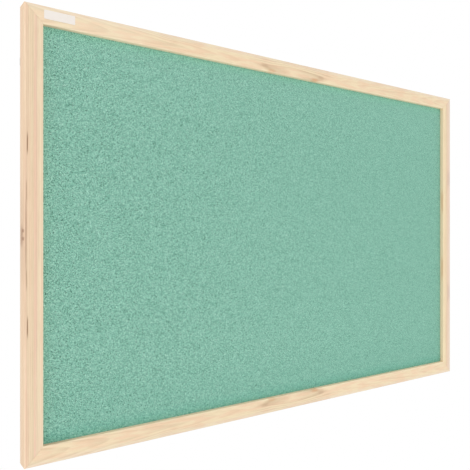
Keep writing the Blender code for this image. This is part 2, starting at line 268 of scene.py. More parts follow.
camera_data = bpy.data.cameras.new("eye")
camera_data.sensor_width = 36.0
camera_data.lens = FOCAL_PIXELS / PHOTO_PIXELS * camera_data.sensor_width
camera = bpy.data.objects.new("eye", camera_data)
camera.location = (-BOARD_RIGHT - EYE_LEFT_OF_BOARD, FRONT_Y - EYE_BEFORE_FRONT, EYE_ABOVE_MIDDLE)
camera.rotation_euler = (math.radians(90), 0, -EYE_TURN)
scene.collection.objects.link(camera)
scene.camera = camera

world = bpy.data.worlds.new("white_room")
world.use_nodes = True
scene.world = world
room = Nodes(world.node_tree)
background = room.tree.nodes["Background"]
background.inputs["Color"].default_value = (1, 1, 1, 1)
room.feed(background.inputs["Strength"], room.seen() * (1.0 - ROOM_LIGHT) + ROOM_LIGHT)

for name, spot, width, watts in LAMPS:
    lamp_data = bpy.data.lights.new(name, "AREA")
    lamp_data.size = width
    lamp_data.energy = watts
    lamp = bpy.data.objects.new(name, lamp_data)
    lamp.location = spot
    lamp.rotation_euler = (-Vector(spot)).to_track_quat("-Z", "Y").to_euler()
    scene.collection.objects.link(lamp)

pale_floor = Finish("pale_floor", roughness=0.9)
x, y, z = pale_floor.place()
cloud = pale_floor.noise(pale_floor.point(x, y, z), scale=0.004)
pale_floor.paint("Base Color", pale_floor.mix(cloud, srgb(240, 240, 239), srgb(245, 245, 244)))
square = x * x + y * y
away = square.math("SQRT", square) / 1000
faded = away.ease(FLOOR_FADE_START, FLOOR_RADIUS * FLOOR_FADE_END_SHARE)
white = pale_floor.node("ShaderNodeEmission", None, {"Color": (1, 1, 1), "Strength": 1.0})
shader = Value(pale_floor, pale_floor.shader.outputs[0])
blend = pale_floor.node("ShaderNodeMixShader", None, {0: faded * pale_floor.seen(), 1: shader, 2: white})
pale_floor.feed(pale_floor.tree.nodes["Material Output"].inputs["Surface"], blend)
bm = bmesh.new()
bmesh.ops.create_circle(bm, cap_ends=True, radius=FLOOR_RADIUS, segments=128)
floor = make_piece("studio_floor", bm, pale_floor)
floor.location.z = -FLOOR_BELOW

# The frame. Four lengths of pale pine moulding with a flat face, a soft outer round and a shallow
# bevel down to the cork, rebated behind, clear sealed and glued at tight mitres.

FACE_WIDTH = 0.024
FRAME_DEPTH = BACK_Y - FRONT_Y
OUTER_ROUND = 0.0025
BEVEL_WIDTH = 0.008
BEVEL_DROP = 0.0017
LIP_DEPTH = 0.0088
LIP_ROUND = 0.0006
BACK_ARRIS = 0.0004
BACK_FACE_WIDTH = 0.016
JOINT_GAP = 0.00012
HALF_RAIL_MM = BOARD_RIGHT * 1000
HALF_STILE_MM = BOARD_TOP * 1000
FLAME_AXIS_MM = 15.8
FLAME_SLOPES = (0.4, 1.5)
FLAME_SLOPE_REACH_MM = (70.0, 150.0)
EYE_END_MM = (72.0, 96.0)
EYE_RIM_LEVEL = 0.97
EYE_RIM_WIDTH = 0.11
RING_LEVELS = (
    (0, 0.25), (68, 1.0), (90, 1.15), (113, 1.0), (156, 0.0), (200, -1.0), (334, -2.0),
    (388, -3.0), (450, -4.2),
)
RING_SPREADS = ((0, 57), (120, 57), (200, 44), (244, 42), (300, 80), (388, 124), (450, 155))
RING_WEIGHTS = (
    (0, 0.85), (245, 0.85), (285, 0.35), (352, 0.35), (374, 1.1), (450, 1.2), (526, 1.1),
    (548, 0.35), (615, 0.35), (655, 0.75), (760, 0.6), (900, 0.4),
)
RING_DEPTH_MM = 14.0
RIFT_RING_MM = 2.3
RIFT_DEPTH_SLOPE = 0.6
RIFT_TAPER_MM = 420.0
RIFT_WEIGHT = 0.8
# The rebate's inner walls, painted paler as painted light against their shade, lie between these places
# across and deep.
WALL_ACROSS_MM = (23.3, 23.9)
WALL_DEPTH_MM = (1.6, 2.6)
SAWN_DEPTH_MM = (23.3, 23.8)


def arc(centre, radius, start, stop, steps):
    """Points on an arc about a centre, from one angle to another, in degrees."""
    points = []
    for step in range(steps + 1):
        turn = math.radians(start + (stop - start) * step / steps)
        points.append((centre[0] + radius * math.cos(turn), centre[1] + radius * math.sin(turn)))
    return points


def moulding_section():
    """Section as (across, depth) from the outer back arris, round the face, to the rebate."""
    section = arc((BACK_ARRIS, FRAME_DEPTH - BACK_ARRIS), BACK_ARRIS, 90, 180, 3)
    section += arc((OUTER_ROUND, OUTER_ROUND), OUTER_ROUND, 180, 270, 10)
    section.append((FACE_WIDTH - BEVEL_WIDTH, 0))
    slope = math.degrees(math.atan2(BEVEL_DROP, BEVEL_WIDTH))
    centre = (FACE_WIDTH - LIP_ROUND, BEVEL_DROP + LIP_ROUND)
    section += arc(centre, LIP_ROUND, 270 + slope, 360, 4)
    section.append((FACE_WIDTH, LIP_DEPTH))
    section.append((BACK_FACE_WIDTH, LIP_DEPTH))
    section += arc((BACK_FACE_WIDTH - BACK_ARRIS, FRAME_DEPTH - BACK_ARRIS), BACK_ARRIS, 0, 90, 3)
    return section


def member_bmesh(corner, along, inward, length):
    """A mitred length of moulding from its outer corner, running along one axis."""
    half_joint = JOINT_GAP / math.sqrt(2)
    stations = 30
    bm = bmesh.new()
    rings = []
    for station in range(stations + 1):
        ring = []
        for across, depth in moulding_section():
            start = across + half_joint
            travel = start + (length - 2 * start) * station / stations
            ring.append(bm.verts.new(corner + along * travel + inward * across + Vector((0, depth, 0))))
        rings.append(ring)
    count = len(rings[0])
    for near, far in zip(rings, rings[1:]):
        for index in range(count):
            after = (index + 1) % count
            bm.faces.new((near[index], near[after], far[after], far[index]))
    bm.faces.new(rings[0])
    bm.faces.new(rings[-1])
    return bm


def flat_sawn(finish, along, across, depth):
    """Growth rings of a flat-sawn rail, a flame from each end and an eye in the middle.

    Gives the count of rings, how dark their late wood is, and the eye's own dark rim.
    """
    reach = abs(along - HALF_RAIL_MM)
    off = across - FLAME_AXIS_MM
    slope_near, slope_far = FLAME_SLOPES
    slope = reach.ease(*FLAME_SLOPE_REACH_MM) * (slope_far - slope_near) + slope_near
    off = off.most(0.0) * slope + off.least(0.0)
    level = finish.course(reach, RING_LEVELS) + depth / RING_DEPTH_MM
    rings = off * off / finish.course(reach, RING_SPREADS) + level
    rim = ((rings - EYE_RIM_LEVEL) / EYE_RIM_WIDTH).bell() * (1.0 - reach.ease(*EYE_END_MM))
    return rings, finish.course(along, RING_WEIGHTS), rim


def rift_sawn(finish, along, across, depth):
    """Growth rings of a stile, which run almost straight along it, with no eye."""
    rings = (across + depth * RIFT_DEPTH_SLOPE) / RIFT_RING_MM
    return rings + abs(along - HALF_STILE_MM) / RIFT_TAPER_MM, RIFT_WEIGHT, 0.0


def hill(spot, centre, reach):
    """1 at a centre and falling off over its reach, in three directions."""
    total = 0.0
    for here, middle, size in zip(spot, centre, reach):
        offset = (here - middle) / size
        square = offset * offset
        total = square * square + total
    return total.math("EXPONENT", -total)


def pine(name, spot, rings_of, tones, marks, wander, seed):
    """Clear-sealed pine. The spot is along, across and depth on the member, in millimetres.

    Tones are the stripes of colour across the face, the left stile's with a painted highlight on its
    outer round. Each mark is a streak, a stain, a pin knot, a paler or darker stretch or a patch of
    painted shade, as its centre, its reach, its strength and its colour. Wander is how freely the grain
    strays from the straight. The rebate's inner walls are painted paler, as painted light against their
    shade.
    """
    finish = Finish("pine_" + name)
    along, across, depth = spot(*finish.place())

    def veins(length, width, shift=0.0, dive=0.0, **fineness):
        """Noise drawn out along the grain. Its clouds have a length and a width in millimetres."""
        here = finish.point(along / length, across / width + shift, depth / width + dive)
        return finish.noise(here, **fineness)

    broad = veins(70.0, 16.0, shift=seed)
    sway = veins(26.0, 6.0, dive=seed)
    along_here = along + (broad - 0.5) * (30.0 * wander)
    across_here = across + (broad - 0.5) * (3.6 * wander) + (sway - 0.5) * (1.6 * wander)
    rings, weight, rim = rings_of(finish, along_here, across_here, depth)
    band = rings.fraction()
    # Late wood darkens slowly through a ring and stops short at its end
    late = band.ease(0.25, 0.84) * (1.0 - band.ease(0.88, 1.0))
    patch = veins(34.0 + 260.0 * (1.0 - wander), 5.5, shift=seed)
    fade = veins(60.0, 7.0, dive=-seed)
    fibre = veins(15.0, 0.6, dive=seed, detail=3.0, rough=0.62)
    hair = veins(5.0, 0.26)
    colour = finish.ramp(across / (FACE_WIDTH * 1000), tones)
    tint = 0.25 + 0.35 * wander
    colour = finish.mix(patch.ease(0.44, 0.64) * tint, colour, srgb(250, 233, 194))
    colour = finish.mix((1.0 - patch.ease(0.36, 0.56)) * tint * 0.7, colour, srgb(248, 209, 174))
    colour = finish.mix(late * weight * (fade.ease(0.3, 0.65) * 0.27 + 0.12), colour, srgb(196, 168, 134))
    colour = finish.mix(fade * 0.85 * rim, colour, srgb(194, 164, 128))
    colour = finish.mix((fibre - 0.42).most(0.0) * 0.9, colour, srgb(214, 176, 136))
    colour = finish.mix(hair.ease(0.64, 0.78) * 0.22, colour, srgb(184, 142, 102))
    # Painted light: the rebate's inner walls under the lip are paled to cream against the shade that
    # falls in the recess.
    wall = across.ease(*WALL_ACROSS_MM) * depth.ease(*WALL_DEPTH_MM)
    colour = finish.mix(wall * 0.85, colour, srgb(255, 225, 190))
    # Among the marks is painted shade, as well as streaks, stains and knots.
    for centre, reach, strength, tone in marks:
        stain = hill((along, across_here, depth), centre, reach) * strength
        colour = finish.mix(stain * (0.75 + fibre * 0.5), colour, tone)
    sawn = depth.ease(*SAWN_DEPTH_MM)
    colour = finish.mix(sawn * 0.3, colour, srgb(208, 172, 128))
    finish.paint("Base Color", colour)
    finish.paint("Roughness", fibre * 0.16 + sawn * 0.25 + 0.40)
    finish.relief(fibre * 0.7 + late * 0.3, 0.00005)
    return finish


def stripes(*tones):
    """Ramp stops from pairs of a place across the face, in millimetres, and a screen colour."""
    return [(place / (FACE_WIDTH * 1000), srgb(*tone)) for place, tone in tones]


RAIL_TONES = stripes(
    (0, (245, 230, 208)), (4, (244, 227, 200)), (8, (249, 226, 191)), (12, (248, 223, 188)),
    (16, (248, 223, 189)), (20, (250, 224, 188)), (24, (255, 236, 204)),
)
# The left stile's stops at 0.06 and 0.5 mm across are a painted highlight along its outer round, fading
# by 1.8 mm.
LEFT_TONES = stripes(
    (0, (242, 207, 170)), (0.06, (255, 221, 191)), (0.5, (255, 222, 193)), (1.8, (245, 209, 181)),
    (3.7, (248, 218, 187)), (9, (242, 217, 183)), (11, (235, 211, 177)), (12.4, (250, 211, 186)),
    (14.9, (239, 203, 178)), (16.1, (245, 220, 189)), (18.9, (250, 228, 195)),
    (19.9, (255, 234, 202)), (20.9, (249, 221, 190)), (24, (253, 233, 201)),
)
RIGHT_TONES = stripes(
    (0, (243, 216, 188)), (1.2, (250, 238, 228)), (4, (240, 222, 206)), (7, (242, 219, 201)),
    (11, (243, 214, 190)), (13, (238, 208, 179)), (14.5, (241, 215, 183)), (17, (247, 228, 190)),
    (20, (253, 233, 193)), (24, (255, 235, 196)),
)
KNOT_AND_SHADE_BROWN = srgb(140, 98, 66)
WARM_BROWN = srgb(142, 86, 34)
RESIN_ORANGE = srgb(226, 162, 108)
LILAC_GREY = srgb(190, 172, 171)
PALE_SAPWOOD = srgb(255, 240, 212)
EYE_AND_CORNER_SHADE_MARKS = (
    ((386, 14.4, 2), (7, 2.6, 8), 0.15, KNOT_AND_SHADE_BROWN),
    ((514, 15.4, 2), (6, 3.4, 8), 0.14, KNOT_AND_SHADE_BROWN),
    ((402, 22, 2), (7, 3.4, 8), 0.30, RESIN_ORANGE),
    ((500, 22, 2), (7, 3.4, 8), 0.42, RESIN_ORANGE),
    # Painted shade: a brown band on the rails' inner walls near their left ends, where shade gathers in
    # the corners.
    ((22, 24.8, 6), (52, 1.3, 5), 0.36, KNOT_AND_SHADE_BROWN),
)
TOP_MARKS = EYE_AND_CORNER_SHADE_MARKS + (((85, 10, 2), (100, 24, 9), 0.20, PALE_SAPWOOD),)
BOTTOM_MARKS = EYE_AND_CORNER_SHADE_MARKS + (((330, 10, 2), (210, 24, 9), 0.035, KNOT_AND_SHADE_BROWN),)
STREAKS = (
    ((418.5, 3.6, 6), (13, 0.8, 12), 0.95, KNOT_AND_SHADE_BROWN),
    ((181.5, 3.6, 6), (13, 0.8, 12), 0.95, KNOT_AND_SHADE_BROWN),
    ((357, 2.5, 4), (13, 0.7, 8), 0.5, KNOT_AND_SHADE_BROWN),
    ((243, 2.5, 4), (13, 0.7, 8), 0.5, KNOT_AND_SHADE_BROWN),
    ((300, 1.7, 2), (44, 1.15, 9), 0.42, KNOT_AND_SHADE_BROWN),
    ((300, 2.4, 2), (140, 0.8, 9), 0.17, KNOT_AND_SHADE_BROWN),
    ((90, 3.8, 3), (95, 1.6, 6), 0.10, KNOT_AND_SHADE_BROWN),
    ((510, 3.8, 3), (95, 1.6, 6), 0.10, KNOT_AND_SHADE_BROWN),
    ((300, 0, 14), (62, 0.7, 12), 0.18, KNOT_AND_SHADE_BROWN),
    ((299, 0, 15), (13, 1.5, 6.5), 0.54, WARM_BROWN),
    ((295.5, 0, 8), (2.4, 1.5, 5.5), 0.70, WARM_BROWN),
    ((305.8, 0, 8), (2.4, 1.5, 5.5), 0.70, WARM_BROWN),
)
STAINS = (
    ((174, 2, 3), (15, 8, 9), 0.24, LILAC_GREY),
    ((422, 2, 3), (15, 8, 9), 0.24, LILAC_GREY),
    ((174, 10, 3), (20, 3, 9), 0.10, KNOT_AND_SHADE_BROWN),
    ((422, 10, 3), (20, 3, 9), 0.10, KNOT_AND_SHADE_BROWN),
    ((228, 24.4, 3.8), (23, 1.4, 3.4), 0.40, RESIN_ORANGE),
    ((373, 24.4, 3.8), (23, 1.4, 3.4), 0.40, RESIN_ORANGE),
)
MEMBERS = (
    ("top_rail", "X", 1, flat_sawn, RAIL_TONES, TOP_MARKS, 1.0, 0.0),
    ("bottom_rail", "X", -1, flat_sawn, RAIL_TONES, BOTTOM_MARKS, 1.0, 0.0),
    ("left_stile", "Z", -1, rift_sawn, LEFT_TONES, STREAKS, 0.25, 5.0),
    ("right_stile", "Z", 1, rift_sawn, RIGHT_TONES, STAINS, 0.25, 9.0),
)


def member_spot(run, side):
    """How a place on the board becomes along, across and depth on one member, in millimetres."""
    def spot(x, y, z):
        depth = y - FRONT_Y * 1000
        if run == "X":
            return x + HALF_RAIL_MM, HALF_STILE_MM - z * side, depth
        return z + HALF_STILE_MM, HALF_RAIL_MM - x * side, depth
    return spot


for name, run, side, rings_of, tones, marks, wander, seed in MEMBERS:
    wood = pine(name, member_spot(run, side), rings_of, tones, marks, wander, seed)
    if run == "X":
        start = Vector((-BOARD_RIGHT, FRONT_Y, side * BOARD_TOP))
        bm = member_bmesh(start, Vector((1, 0, 0)), Vector((0, 0, -side)), 2 * BOARD_RIGHT)
    else:
        start = Vector((side * BOARD_RIGHT, FRONT_Y, -BOARD_TOP))
        bm = member_bmesh(start, Vector((0, 0, 1)), Vector((-side, 0, 0)), 2 * BOARD_TOP)
    piece = make_piece("pine_" + name, bm, wood)
    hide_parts("frame_" + name)
    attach(piece, "board")

# The corner nails. Bent strips of bright spring steel, two a corner, pressed into the back of the
# glued mitre with one leg in each member.

NAIL_THICKNESS = 0.0005
NAIL_BEND = 0.0012
NAIL_CURL = 0.0010
NAIL_CURL_ANGLE = 60
NAIL_PROUD = 0.00012


def spring_steel(name):
    """Blued strip steel, faintly drawn along its length and wiped with oil."""
    finish = Finish(name, metallic=1.0)
    x, y, z = finish.place()
    smear = finish.noise(finish.point(x, y, z), scale=0.5)
    drawn = finish.noise(finish.point(x * 0.6, y * 14.0, z * 0.6), detail=3.0)
    colour = finish.mix(smear, srgb(120, 122, 128), srgb(168, 168, 170))
    finish.paint("Base Color", finish.mix(drawn * 0.5, colour, srgb(96, 96, 104)))
    finish.paint("Roughness", smear * 0.2 + drawn * 0.15 + 0.2)
    finish.relief(drawn, 0.00002)
    return finish


def nail_path(width, height):
    """Middle line of a nail from its outer corner, a leg each way with a rounded bend and curled ends."""
    half = NAIL_THICKNESS / 2
    end = half + NAIL_CURL
    line = arc((width - end, end), NAIL_CURL, NAIL_CURL_ANGLE - 90, -90, 5)
    line += arc((NAIL_BEND, NAIL_BEND), NAIL_BEND - half, 270, 180, 6)
    line += arc((end, height - end), NAIL_CURL, 180, 180 - NAIL_CURL_ANGLE, 5)
    return line


def sweep_band(path, thickness, low, high):
    """A strip of a thickness that follows a path in X and Z, standing between two depths."""
    bm = bmesh.new()
    rows = []
    for index, here in enumerate(path):
        before = path[max(index - 1, 0)]
        after = path[min(index + 1, len(path) - 1)]
        heading = (after - before).normalized()
        side = Vector((-heading.z, 0, heading.x)) * thickness / 2
        corners = [here - side, here + side]
        row = [bm.verts.new(Vector((p.x, y, p.z))) for p in corners for y in (low, high)]
        rows.append([row[0], row[1], row[3], row[2]])
    for near, far in zip(rows, rows[1:]):
        for index in range(4):
            after = (index + 1) % 4
            bm.faces.new((near[index], near[after], far[after], far[index]))
    bm.faces.new(rows[0])
    bm.faces.new(rows[-1])
    return bm


bright_strip = spring_steel("bright_strip_steel")
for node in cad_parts:
    if not node.startswith("corner_nail"):
        continue
    low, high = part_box(node)
    x_out, x_way = (high[0], -1) if "right" in node else (low[0], 1)
    z_out, z_way = (high[2], -1) if "top" in node else (low[2], 1)
    line = nail_path(high[0] - low[0], high[2] - low[2])
    path = [Vector((x_out + x_way * px, 0, z_out + z_way * pz)) for px, pz in line]
    strip = sweep_band(path, NAIL_THICKNESS, low[1], BACK_Y + NAIL_PROUD)
    nail = make_piece("bright_" + node, strip, bright_strip)
    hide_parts(node)
    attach(nail, "board")

# The cork. One sheet of pressed cork granules, dyed mint green, its face sanded but still pebbled
# where granules stand up and crumbs have pulled out. It is dyed a little more evenly to the right.
# Painted shade darkens it towards its lower edge as the bottom rail's shadow, and painted light
# brightens it towards its upper edge against the top rail's shade.

CORK_STEP = 0.0024
CORK_RELIEF = 0.00010
CORK_JITTER_SHARE = 0.3
CORK_SEED = 7
CORK_SMOOTH_BELOW = 80
GRANULES_PER_MM = 1.25
CRUMBS_PER_MM = 2.6
GRANULE_SHARE = 0.66
TUMBLE_MM = 0.9

mint_cork = Finish("mint_cork", roughness=0.9)
x, y, z = mint_cork.place()
tumble = mint_cork.noise(mint_cork.point(x, y, z), scale=1.1, detail=2.0)
spot = mint_cork.point(x + tumble * TUMBLE_MM, y, z - tumble * TUMBLE_MM)
granule, crumb = (
    mint_cork.node("ShaderNodeSeparateColor", None, {0: mint_cork.cells(spot, scale, out="Color")})
    for scale in (GRANULES_PER_MM, CRUMBS_PER_MM)
)
seam = mint_cork.cells(spot, GRANULES_PER_MM, "DISTANCE_TO_EDGE")
pores = mint_cork.noise(mint_cork.point(x, y, z), scale=3.2, detail=3.0, rough=0.6)
drift = mint_cork.noise(mint_cork.point(x, y, z), scale=0.03, detail=2.0)
tone = granule * GRANULE_SHARE + crumb * (1.0 - GRANULE_SHARE)
colour = mint_cork.ramp(tone, [
    (0.0, srgb(0, 26, 18)), (0.2, srgb(14, 80, 60)), (0.345, srgb(130, 195, 172)),
    (0.58, srgb(159, 219, 197)), (0.82, srgb(190, 240, 221)), (1.0, srgb(228, 254, 243)),
])
colour = mint_cork.mix((1.0 - seam.ease(0.0, 0.09)) * 0.5, colour, srgb(74, 132, 110))
colour = mint_cork.mix((0.5 - pores).most(0.0) * 1.2, colour, srgb(86, 142, 120))
colour = mint_cork.mix(drift * 0.05, colour, srgb(110, 176, 156))
colour = mint_cork.mix(x.ease(-450.0, 450.0) * 0.36 + 0.09, colour, srgb(130, 190, 168))
# Painted shade and light by height: the lower two darken the cork above the bottom rail, most along its
# lip, as its shadow; the upper two lighten it under the top rail, most along its lip, against the lip's
# shade.
for start, stop, strength, edge_light_and_shade in (
    (-180.0, -276.0, 0.10, srgb(80, 160, 140)),
    (-254.0, -272.0, 0.13, srgb(0, 180, 160)),
    (150.0, 270.0, 0.08, srgb(160, 215, 196)),
    (258.0, 274.0, 0.12, srgb(140, 245, 205)),
):
    colour = mint_cork.mix(z.ease(start, stop) * strength, colour, edge_light_and_shade)
mint_cork.paint("Base Color", colour)
mint_cork.relief(pores * 0.5 + seam.ease(0.0, 0.25) * 0.5, 0.00025)


def pebbled_sheet(low, high, step, relief, seed):
    """A flat sheet whose front face is a jittered net of small rises and pits."""
    dice = random.Random(seed)
    columns = round((high[0] - low[0]) / step)
    rows = round((high[2] - low[2]) / step)
    bm = bmesh.new()
    net = []
    for row in range(rows + 1):
        line = []
        for column in range(columns + 1):
            px = low[0] + (high[0] - low[0]) * column / columns
            pz = low[2] + (high[2] - low[2]) * row / rows
            if 0 < column < columns and 0 < row < rows:
                px += dice.uniform(-CORK_JITTER_SHARE, CORK_JITTER_SHARE) * step
                pz += dice.uniform(-CORK_JITTER_SHARE, CORK_JITTER_SHARE) * step
                py = low[1] + dice.random() ** 2 * relief
            else:
                py = low[1]
            line.append(bm.verts.new((px, py, pz)))
        net.append(line)
    for below, above in zip(net, net[1:]):
        for index in range(columns):
            bm.faces.new((below[index], below[index + 1], above[index + 1], above[index]))
    border = [edge for edge in bm.edges if edge.is_boundary]
    skirt = bmesh.ops.extrude_edge_only(bm, edges=border)["geom"]
    for item in skirt:
        if isinstance(item, bmesh.types.BMVert):
            item.co.y = high[1]
    border = [edge for edge in bm.edges if edge.is_boundary]
    bmesh.ops.holes_fill(bm, edges=border, sides=0)
    return bm


cork_low, cork_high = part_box("cork_sheet")
sheet = pebbled_sheet(cork_low, cork_high, CORK_STEP, CORK_RELIEF, CORK_SEED)
cork = make_piece("pebbled_cork", sheet, mint_cork, CORK_SMOOTH_BELOW)
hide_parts("cork_sheet")
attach(cork, "board")

# The softboard core. A light board of felted wood fibre behind the cork, which takes the pins. It is
# grey-brown, with loose fibres on its face.

felted = Finish("felted_softboard", roughness=0.95)
x, y, z = felted.place()
clump = felted.noise(felted.point(x, y, z), scale=0.12, detail=3.0)
strand = felted.noise(felted.point(x * 0.35, y, z * 1.6), scale=1.2, detail=4.0, rough=0.65)
colour = felted.mix(clump, srgb(168, 144, 114), srgb(190, 168, 138))
colour = felted.mix(strand.ease(0.5, 0.75) * 0.6, colour, srgb(122, 98, 72))
felted.paint("Base Color", colour)
felted.relief(strand, 0.0003)


def dress(node, finish):
    """Give a solid that keeps its own shape a finish."""
    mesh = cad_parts[node].data
    mesh.materials.clear()
    mesh.materials.append(finish.material)


dress("softboard_core", felted)

# The hardboard back. Hot-pressed brown fibreboard, its screen side outwards with the fine print of
# the press's wire mesh, and darker fibres and specks all through it.

MESH_PITCH_MM = 1.7
pressed = Finish("pressed_hardboard")
x, y, z = pressed.place()
weave_x = (x * (2 * math.pi / MESH_PITCH_MM)).sine()
weave_z = (z * (2 * math.pi / MESH_PITCH_MM)).sine()
print_mark = weave_x * weave_z * 0.5 + 0.5
cloud = pressed.noise(pressed.point(x, y, z), scale=0.012, detail=3.0)
fibre = pressed.noise(pressed.point(x * 0.5, y, z * 1.8), scale=0.8, detail=4.0, rough=0.65)
fleck = pressed.cells(pressed.point(x, y, z * 2.6), 0.16)
colour = pressed.mix(cloud, srgb(138, 100, 70), srgb(160, 120, 86))
colour = pressed.mix(fibre.ease(0.45, 0.75) * 0.5, colour, srgb(104, 72, 48))
colour = pressed.mix((1.0 - fleck.ease(0.05, 0.16)) * 0.5, colour, srgb(82, 56, 38))
colour = pressed.mix(print_mark * 0.18, colour, srgb(98, 68, 46))
pressed.paint("Base Color", colour)
pressed.paint("Roughness", fibre * 0.3 + 0.5)
pressed.relief(print_mark * 0.7 + fibre * 0.3, 0.00018)
dress("hardboard_back", pressed)

# The framer's points. Small leaves of blued spring steel, driven nose first into the rebate wall so
# that they lie over the hardboard and hold the panel in. Each has a pressed rib and a lifted heel.

POINT_THICKNESS = 0.0005
POINT_NOSE_SHARE = 0.2
POINT_TIP_SHARE = 0.12
POINT_HEEL_SHARE = 0.1
POINT_HEEL_TAPER_SHARE = 0.12
POINT_RIB = 0.0004
POINT_RIB_SHARE = 0.35
POINT_RIB_START_SHARE = 0.1
POINT_RIB_RUN_SHARE = 0.85
POINT_LIFT = 0.0008
POINT_LIFT_START_SHARE = 0.6
POINT_PLACE_SHARES = (-1, -0.35, -0.18, 0, 0.18, 0.35, 1)
POINT_STEPS = 14
POINT_SMOOTH_BELOW = 30


def point_bmesh(nose, heel, width, base_y):
    """A leaf from nose to heel: pointed, ribbed along its middle and lifted at its heel."""
    run = heel - nose
    length = run.length
    side = Vector((-run.z, 0, run.x)).normalized()
    bm = bmesh.new()
    rows = []
    for step in range(POINT_STEPS + 1):
        share = step / POINT_STEPS
        nose_share = POINT_TIP_SHARE + share / POINT_NOSE_SHARE * (1 - POINT_TIP_SHARE)
        heel_share = max(0.0, share - 1 + POINT_HEEL_SHARE) / POINT_HEEL_SHARE
        half = width / 2 * min(1.0, nose_share) * (1.0 - POINT_HEEL_TAPER_SHARE * heel_share)
        lifted = max(0.0, share - POINT_LIFT_START_SHARE) / (1 - POINT_LIFT_START_SHARE)
        lift = POINT_LIFT * lifted ** 2
        rib_share = min(1.0, max(0.0, (share - POINT_RIB_START_SHARE) / POINT_RIB_RUN_SHARE))
        crest = POINT_RIB * math.sin(math.pi * rib_share)
        top = []
        under = []
        for place in POINT_PLACE_SHARES:
            across = min(1.0, abs(place) / POINT_RIB_SHARE)
            rib = crest * math.cos(across * math.pi / 2)
            spot = nose + run * share + side * half * place
            level = base_y + lift + rib
            under.append(bm.verts.new((spot.x, level, spot.z)))
            top.append(bm.verts.new((spot.x, level + POINT_THICKNESS, spot.z)))
        rows.append(under + top[::-1])
    count = len(rows[0])
    for near, far in zip(rows, rows[1:]):
        for index in range(count):
            after = (index + 1) % count
            bm.faces.new((near[index], near[after], far[after], far[index]))
    bm.faces.new(rows[0])
    bm.faces.new(rows[-1])
    return bm


blued = spring_steel("blued_spring_steel")
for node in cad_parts:
    if not node.startswith("framer_point"):
        continue
    low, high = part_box(node)
    middle_x = (low[0] + high[0]) / 2
    middle_z = (low[2] + high[2]) / 2
    ends = {
        "top": ((middle_x, high[2]), (middle_x, low[2])),
        "bottom": ((middle_x, low[2]), (middle_x, high[2])),
        "left": ((low[0], middle_z), (high[0], middle_z)),
        "right": ((high[0], middle_z), (low[0], middle_z)),
    }[node.split("_")[2]]
    nose, heel = (Vector((end_x, 0, end_z)) for end_x, end_z in ends)
    width = min(high[0] - low[0], high[2] - low[2])
    bm = point_bmesh(nose, heel, width, low[1])
    leaf = make_piece("blued_" + node, bm, blued, POINT_SMOOTH_BELOW)
    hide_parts(node)
    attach(leaf, "board")

# The bare label. A small strip of white film with round corners, stuck near the left end of the top
# rail, its lower edge just past the flat. It carries nothing.

LABEL_CORNER = 0.0012
LABEL_CORNER_STEPS = 6
LABEL_THICKNESS = 0.0002
LABEL_EDGE = 0.00008

white_film = Finish("white_film", coat_weight=0.25, coat_roughness=0.3)
x, y, z = white_film.place()
ripple = white_film.noise(white_film.point(x, y, z), scale=0.18, detail=2.0)
grit = white_film.noise(white_film.point(x, y, z), scale=3.0, detail=2.0)
colour = white_film.mix(ripple, srgb(243, 234, 225), srgb(249, 242, 235))
white_film.paint("Base Color", white_film.mix(grit.ease(0.6, 0.8) * 0.12, colour, srgb(214, 206, 196)))
white_film.paint("Roughness", ripple * 0.15 + 0.35)
white_film.relief(ripple * 0.8 + grit * 0.2, 0.00006)

label_low, label_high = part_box("front_label")
outline = []
for x_corner, z_corner, turn in ((1, 1, 0), (-1, 1, 90), (-1, -1, 180), (1, -1, 270)):
    centre_x = (label_high[0] if x_corner > 0 else label_low[0]) - x_corner * LABEL_CORNER
    centre_z = (label_high[2] if z_corner > 0 else label_low[2]) - z_corner * LABEL_CORNER
    outline += arc((centre_x, centre_z), LABEL_CORNER, turn, turn + 90, LABEL_CORNER_STEPS)
bm = bmesh.new()
face = bm.faces.new([bm.verts.new((px, FRONT_Y, pz)) for px, pz in outline])
raised = bmesh.ops.extrude_face_region(bm, geom=[face])["geom"]
top_verts = [item for item in raised if isinstance(item, bmesh.types.BMVert)]
bmesh.ops.translate(bm, verts=top_verts, vec=(0, -LABEL_THICKNESS, 0))
label = make_piece("bare_label", bm, white_film)
trim = label.modifiers.new("soft_edge", "BEVEL")
trim.width = LABEL_EDGE
trim.segments = 2
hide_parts("front_label")
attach(label, "board")

# The hanger straps. Zinc-plated steel strip, rolled at the top into a knuckle for the ring and
# screwed flat to the back of each stile, with its lower corners rounded.

STRAP_THICKNESS = 0.0009
STRAP_CORNER = 0.003
STRAP_CORNER_STEPS = 10
STRAP_HOLE = 0.0016
STRAP_EDGE = 0.00012
CURL_ANGLE = 285
CURL_STEPS = 36
PUNCH_LENGTH = 0.006
PUNCH_SIDES = 48
SAME_PLACE = 0.00001


def zinc_plate(name):
    """Bright zinc plating, clouded, with fine rolling lines and small dull stains."""
    finish = Finish(name, metallic=1.0)
    x, y, z = finish.place()
    cloud = finish.noise(finish.point(x, y, z), scale=0.35, detail=3.0)
    lines = finish.noise(finish.point(x * 9.0, y * 9.0, z * 0.5), detail=2.0)
    stain = finish.noise(finish.point(x, y + 40.0, z), scale=0.9, detail=3.0)
    colour = finish.mix(cloud, srgb(172, 174, 178), srgb(202, 203, 204))
    colour = finish.mix(stain.ease(0.58, 0.75) * 0.4, colour, srgb(150, 146, 138))
    finish.paint("Base Color", colour)
    finish.paint("Roughness", cloud * 0.25 + lines * 0.12 + 0.16)
    finish.relief(lines * 0.6 + cloud * 0.4, 0.00002)
    return finish


